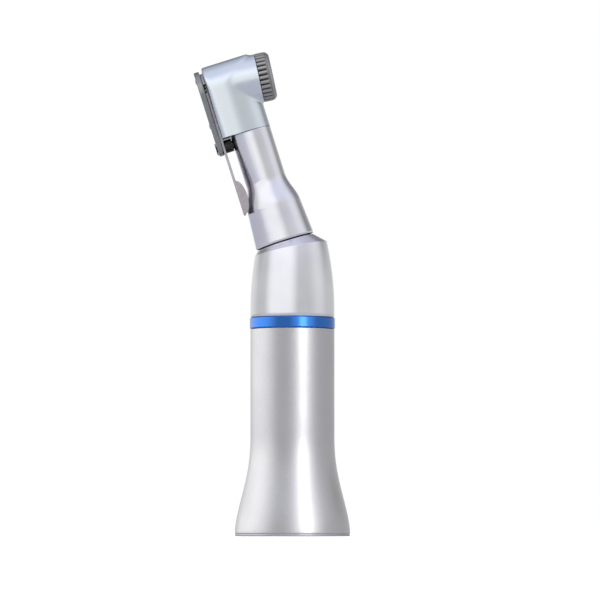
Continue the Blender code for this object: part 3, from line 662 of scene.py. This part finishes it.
# Satin chrome on a tumbled casting: pale blue-white, a little hazier than polish, faintly mottled.
satin_chrome, tree, shader, place = new_material("satin_chromed_casting")
mottle = add_node(tree, "ShaderNodeTexNoise", {"Vector": place, "Scale": 1000 / 2.5, "Detail": 3})
tooth = add_node(tree, "ShaderNodeTexNoise", {"Vector": place, "Scale": 1000 / 0.25, "Detail": 2})
chrome = add_node(tree, "ShaderNodeMix", {0: mottle.outputs["Fac"], 6: linear("#E2ECF2"),
                                          7: linear("#EEF5F9")}, data_type="RGBA")
veil = add_node(tree, "ShaderNodeMapRange", {"Value": mottle.outputs["Fac"], "From Min": 0.3,
                                             "From Max": 0.7, "To Min": 0.20, "To Max": 0.25})
cast = add_node(tree, "ShaderNodeBump", {"Height": tooth.outputs["Fac"], "Strength": 0.02,
                                         "Distance": 0.00002})
tree.links.new(chrome.outputs[2], shader.inputs["Base Color"])
tree.links.new(veil.outputs[0], shader.inputs["Roughness"])
tree.links.new(cast.outputs[0], shader.inputs["Normal"])
shader.inputs["Metallic"].default_value = 1.0

set_in_place("head_block", head, neck_axis, "shank_and_head", satin_chrome,
             "head_housing", sharp=50)

# ---------------------------------------------------------------- ribbed head cap
# The screwed cap that holds the spindle in: turned steel, ribbed round its side for the fingers and
# black-nickel plated, with a plain chamfered rim and the bur hole in the middle of its face.

CAP_RIBS, CAP_RIB_R, RIB_DEPTH, CAP_LOW, CAP_HIGH = 30, 4.58, 0.28, 4.55, 7.15
POINTS_PER_RIB, THREAD_LOW, HOLLOW_TOP = 10, 3.7, 5.5


def cap_radius(step, depth):
    """The radius at a point of a rib: flat on the crown, with a narrow groove to each side."""
    swing = cos(2 * pi * step / POINTS_PER_RIB)
    return CAP_RIB_R - depth * (1 - min(1.0, 1.25 * (0.5 + 0.5 * swing)) ** 0.6)


cap = bmesh.new()
rim = bmesh.ops.create_circle(cap, segments=CAP_RIBS * POINTS_PER_RIB, radius=1.0)["verts"]
rim_edges = cap.edges[:]

# Each layer is a height, how far in from the ribs' crowns it lies, and how deep its grooves are.
layers = [
    # The ribbed side, which runs out under the plain rim.
    (CAP_LOW, 0.12, RIB_DEPTH), (CAP_LOW + 0.1, 0.0, RIB_DEPTH), (CAP_LOW + 1.6, 0.0, RIB_DEPTH),
    (CAP_LOW + 1.78, 0.02, 0.1), (CAP_LOW + 1.85, 0.10, 0.0),
    # The rim, its chamfer and the face, with a shallow step round the bur hole.
    (CAP_HIGH - 0.55, 0.10, 0.0), (CAP_HIGH - 0.45, 0.16, 0.0), (CAP_HIGH - 0.1, 0.52, 0.0),
    (CAP_HIGH - 0.02, 0.64, 0.0), (CAP_HIGH, 0.75, 0.0), (CAP_HIGH, CAP_RIB_R - 2.65, 0.0),
    (CAP_HIGH - 0.06, CAP_RIB_R - 2.55, 0.0), (CAP_HIGH - 0.06, CAP_RIB_R - 1.9, 0.0),
    (CAP_HIGH - 0.16, CAP_RIB_R - 1.8, 0.0),
    # The hole, the hollow behind it, and the threaded skirt that screws into the head.
    (HOLLOW_TOP, CAP_RIB_R - 1.8, 0.0), (HOLLOW_TOP, CAP_RIB_R - 3.2, 0.0),
    (THREAD_LOW, CAP_RIB_R - 3.2, 0.0), (THREAD_LOW, CAP_RIB_R - 3.9, 0.0),
    (CAP_LOW, CAP_RIB_R - 3.9, 0.0)]
ring_edges = rim_edges
for layer, (height, inset, depth) in enumerate(layers):
    if layer:
        grown = bmesh.ops.extrude_edge_only(cap, edges=ring_edges)["geom"]
        rim = [item for item in grown if isinstance(item, bmesh.types.BMVert)]
        ring_edges = [item for item in grown if isinstance(item, bmesh.types.BMEdge)
                      and all(vertex in rim for vertex in item.verts)]
    for vertex in rim:
        angle = atan2(vertex.co.y, vertex.co.x)
        step = round(angle / (2 * pi) * CAP_RIBS * POINTS_PER_RIB)
        radius = cap_radius(step, depth) - inset
        vertex.co = (radius * cos(angle), radius * sin(angle), height)
bmesh.ops.bridge_loops(cap, edges=ring_edges + rim_edges)

# Black nickel: a warm dark grey metal. The ribs' crowns are lighter and the grooves darker, partly wear and partly
# painted light and shade.
black_nickel, tree, shader, place = new_material("black_nickel_plate")
cap_centre = spindle_axis.inverted()
turn = cap_centre.to_euler()
levelled = add_node(tree, "ShaderNodeMapping",
                    {"Vector": place, "Location": cap_centre.translation, "Rotation": turn})
flat_part = add_node(tree, "ShaderNodeVectorMath", {0: levelled.outputs[0], 1: (1, 1, 0)},
                     operation="MULTIPLY")
away = add_node(tree, "ShaderNodeVectorMath", {0: flat_part.outputs[0]}, operation="LENGTH")
crown = add_node(tree, "ShaderNodeMapRange",
                 {"Value": away.outputs["Value"], "From Min": (CAP_RIB_R - 0.25) * 0.001,
                  "From Max": CAP_RIB_R * 0.001})
height_up = add_node(tree, "ShaderNodeSeparateXYZ", {0: levelled.outputs[0]})
# The rim, its chamfer and the face take the light tone too: painted light.
rim_painted_light = add_node(tree, "ShaderNodeMapRange",
                     {"Value": height_up.outputs["Z"], "From Min": (CAP_HIGH - 0.7) * 0.001,
                      "From Max": (CAP_HIGH - 0.5) * 0.001})
wear_and_painted_light_mask = add_node(tree, "ShaderNodeMath", {0: crown.outputs[0], 1: rim_painted_light.outputs[0]},
                 operation="MAXIMUM")
wear_and_painted_light_colour = add_node(tree, "ShaderNodeMix",
                {0: wear_and_painted_light_mask.outputs[0], 6: linear("#3E3D3B"), 7: linear("#B4B2AF")},
                data_type="RGBA")
smut = add_node(tree, "ShaderNodeTexNoise", {"Vector": place, "Scale": 1000 / 0.8, "Detail": 4})
dulled = add_node(tree, "ShaderNodeMapRange", {"Value": smut.outputs["Fac"], "To Min": 0.26,
                                               "To Max": 0.46})
tree.links.new(wear_and_painted_light_colour.outputs[2], shader.inputs["Base Color"])
tree.links.new(dulled.outputs[0], shader.inputs["Roughness"])
shader.inputs["Metallic"].default_value = 1.0
set_in_place("ribbed_cap", cap, spindle_axis, "shank_and_head", black_nickel,
             "head_cap", sharp=50)

# ---------------------------------------------------------------- spindle nose
# The bur tube, ground and polished, which shows in the cap's hole and, with the latch open, at the
# back of the head, where half of it is milled away to drive the flat on a bur's shank.

SPINDLE_R, BUR_R = 1.55, 1.18
bur_tube = spun(eased([(SPINDLE_R, 6.9, 0.12), (SPINDLE_R, -5.0, 0.1), (BUR_R, -5.0, 0.06),
                       (BUR_R, 6.9, 0.15)]), 64)
half_cut = box_between((0.55, -3, -6), (3, 3, -4.2))
bur_tube = combined(bur_tube, [("DIFFERENCE", half_cut)])
set_in_place("bur_tube", bur_tube, spindle_axis, "spindle_line", ground_steel,
             "spindle")

# ---------------------------------------------------------------- latch
# The swing latch on the back of the head: a pressed plate riveted to a strip of spring steel, which
# runs down past the pivot to a thumb tab folded up along its edge. It turns on a shouldered post.

latch_joint = joints["latch_swing"]
PIVOT_FROM_AXIS = 6.0
latch_axis = (axes_of(latch_joint["pos_m"], latch_joint["axis"])
              @ Matrix.Translation((0, 0, -PIVOT_FROM_AXIS * 0.001)))
EYE, PLATE_R, PLATE_LOW, PLATE_HIGH, TAIL_R = 10.9, 3.95, 5.84, 6.85, 1.45
LEVER_LOW, LEVER_HIGH, LEVER_R, TAB_START, TAB_END, TAB_Y = 5.39, 5.83, 3.4, 6.8, 13.3, -3.25
PIVOT_HOLE_R, RIVET_HOLE_R, BUR_NOTCH_R, RIVETS = 0.62, 0.35, 0.85, (4.4, 13.1)


def softened(solid, edge, steps=3):
    """Rounds the long edges round a plate's two faces."""
    rims = [item for item in solid.edges if item.calc_face_angle(0) > radians(50)
            and abs(item.verts[0].co.z - item.verts[1].co.z) < 1e-6]
    bmesh.ops.bevel(solid, geom=rims, offset=edge, affect="EDGES", segments=steps, profile=0.5,
                    material=-1)
    return solid


def hole(x, radius):
    """A drill through the latch, at a place along its middle line."""
    drill = bmesh.new()
    bmesh.ops.create_cone(drill, cap_ends=True, segments=48, radius1=radius, radius2=radius,
                          depth=8)
    bmesh.ops.translate(drill, verts=drill.verts, vec=(x, 0, 6.5))
    return drill


def latch_holes():
    """The cuts for the pivot and the rivets, which the plate and the lever share."""
    return ([("DIFFERENCE", hole(0, PIVOT_HOLE_R))]
            + [("DIFFERENCE", hole(x, RIVET_HOLE_R)) for x in RIVETS])


# The plate's outline is a large arc over the bur hole and a small one at the pivot, whose tangents
# join them.
lean = 90 + degrees(asin((PLATE_R - TAIL_R) / EYE))
plate_outline = arc((EYE, 0), PLATE_R, -lean, lean, 56) + arc((0, 0), TAIL_R, lean, 360 - lean, 28)
plate = combined(softened(prism(plate_outline, PLATE_LOW, PLATE_HIGH), 0.22, 4), latch_holes())

# Rolled spring steel, brushed along its length: mid grey with fine hairlines. Real ones are 0.05 mm
# apart, and they are drawn at 0.25 mm so that they show.
HAIRLINE_MM = 0.25
sheet_steel, tree, shader, place = new_material("brushed_spring_steel")
slant = latch_axis.inverted().to_euler()
along = add_node(tree, "ShaderNodeMapping", {"Vector": place, "Rotation": slant})
stretch = add_node(tree, "ShaderNodeVectorMath",
                   {0: along.outputs[0], 1: (250, 1000 / HAIRLINE_MM, 1000 / HAIRLINE_MM)},
                   operation="MULTIPLY")
hairline = add_node(tree, "ShaderNodeTexNoise",
                    {"Vector": stretch.outputs[0], "Scale": 1.0, "Detail": 2})
brushed = add_node(tree, "ShaderNodeMix", {0: hairline.outputs["Fac"], 6: linear("#8C908F"),
                                           7: linear("#B4B7B5")}, data_type="RGBA")
scored = add_node(tree, "ShaderNodeBump", {"Height": hairline.outputs["Fac"], "Strength": 0.12,
                                           "Distance": 0.00002})
tree.links.new(brushed.outputs[2], shader.inputs["Base Color"])
tree.links.new(scored.outputs[0], shader.inputs["Normal"])
shader.inputs["Metallic"].default_value = 1.0
shader.inputs["Roughness"].default_value = 0.30
set_in_place("latch_cover_plate", plate, latch_axis, "latch", sheet_steel,
             "latch_plate")

strip_outline = (arc((EYE, 0), LEVER_R, -105, 105, 40)
                 + [(-0.3, 1.4), (-TAB_START, 0.8), (-12.6, 0.5), (-TAB_END, -0.2),
                    (-TAB_END, -2.7), (-12.8, TAB_Y), (-TAB_START, TAB_Y), (-3.0, -2.3),
                    (-0.3, -1.4)])

# The notch lies where the leaning spindle's axis comes out behind the head.
back_way = spindle_axis.inverted() @ latch_axis
lever_middle = Vector((0, 0, (LEVER_LOW + LEVER_HIGH) / 2000))
bur_exit = (latch_axis.inverted() @ spindle_axis
            @ Vector((0, 0, (back_way @ lever_middle).z))).x * 1000
notch = box_between((bur_exit - BUR_NOTCH_R, -6, 5), (bur_exit + BUR_NOTCH_R, 0, 7))
tab_middle, tab_half = (TAB_START + TAB_END) / 2, (TAB_END - TAB_START) / 2
tab_outline = [(-tab_middle + tab_half * cos(radians(angle)),
                LEVER_HIGH - 0.05 - 1.65 * abs(sin(radians(angle))) ** 0.8)
               for angle in range(0, 181, 5)]
tab = softened(prism(tab_outline, -0.35, -0.02), 0.08, 2)
folded_up = Matrix.Translation((0, TAB_Y, 0)) @ Matrix.Rotation(radians(90), 4, "X")
bmesh.ops.transform(tab, matrix=folded_up, verts=tab.verts)
lever = combined(softened(prism(strip_outline, LEVER_LOW, LEVER_HIGH), 0.08, 2),
                 [("UNION", tab), ("DIFFERENCE", notch),
                  ("DIFFERENCE", hole(bur_exit, BUR_NOTCH_R + 0.01))] + latch_holes())

# The strip as rolled, unbrushed: a light grey with a mauve cast, softly mottled.
rolled_steel = patchy("rolled_spring_steel", 0.8, 3, "#AAA3A8", "#C6BFC4", 0.33)
set_in_place("latch_spring_lever", lever, latch_axis, "latch", rolled_steel,
             "latch_lever")

for number, x in enumerate(RIVETS, start=1):
    rivet = spun(eased([(0, 7.0), (0.35, 7.0, 0.08), (0.55, 6.88), (0.3, 6.88),
                        (0.3, LEVER_LOW + 0.02), (0, LEVER_LOW + 0.02)]), 32, closed=False)
    bmesh.ops.translate(rivet, verts=rivet.verts, vec=(x, 0, 0))
    set_in_place(f"latch_rivet_head_{number}", rivet, latch_axis, "latch", ground_steel,
                 f"latch_rivet_{number}")

post = spun(eased([(0, 4.2), (0.6, 4.2), (0.6, 5.37), (1.22, 5.37, 0.1), (1.22, 3.9), (0.8, 3.9),
                   (0.8, 2.75), (0, 2.75)]), 64, closed=False)

# Black oxide on turned steel: nearly black, half matt, with a faint brown bloom. On the pivot post under the head,
# its near black is painted shade.
black_oxide_and_painted_shade = patchy("black_oxide_steel_and_painted_shade", 0.6, 3, "#333435", "#4E4B48", 0.38)
set_in_place("latch_pivot_post", post, latch_axis, "shank_and_head", black_oxide_and_painted_shade,
             "latch_post")
screw = spun(eased([(0, 7.1), (1.1, 7.1, 0.12), (1.1, 6.9), (0.54, 6.9), (0.54, 4.3), (0, 4.3)]),
             48, closed=False)
driver_slot = box_between((-2, -0.15, 6.98), (2, 0.15, 8))
screw = combined(screw, [("DIFFERENCE", driver_slot)])
set_in_place("latch_screw", screw, latch_axis, "shank_and_head", black_oxide_and_painted_shade,
             "latch_pivot_screw")

# ---------------------------------------------------------------- inner works
# The pieces that stay inside keep their own solids, and get the finish that their material slot
# names: steel for the shafts, gears and bearings, and brass for the nuts and the ball cages.

# Turned brass: warm yellow, dulled by oil, with small stains.
brass = patchy("turned_brass", 0.4, 3, "#B08D45", "#D9BC78", 0.32)

finish_of_slot = {"bright_steel": ground_steel, "hard_steel": hard_steel,
                  "spring_steel": sheet_steel, "latch_steel": sheet_steel, "brass": brass,
                  "rubber": nitrile, "cap_dark": black_nickel, "housing_pearl": pearl_nickel,
                  "head_silver": satin_chrome, "sheath_satin": satin_nickel,
                  "ring_blue": blue_anodised}
slots = {row["node"]: row["material_slot"] for row in frame["record"]["subparts"]}
for name, node in frame["nodes"].items():
    node.data.materials.clear()
    node.data.materials.append(finish_of_slot[slots[name]])
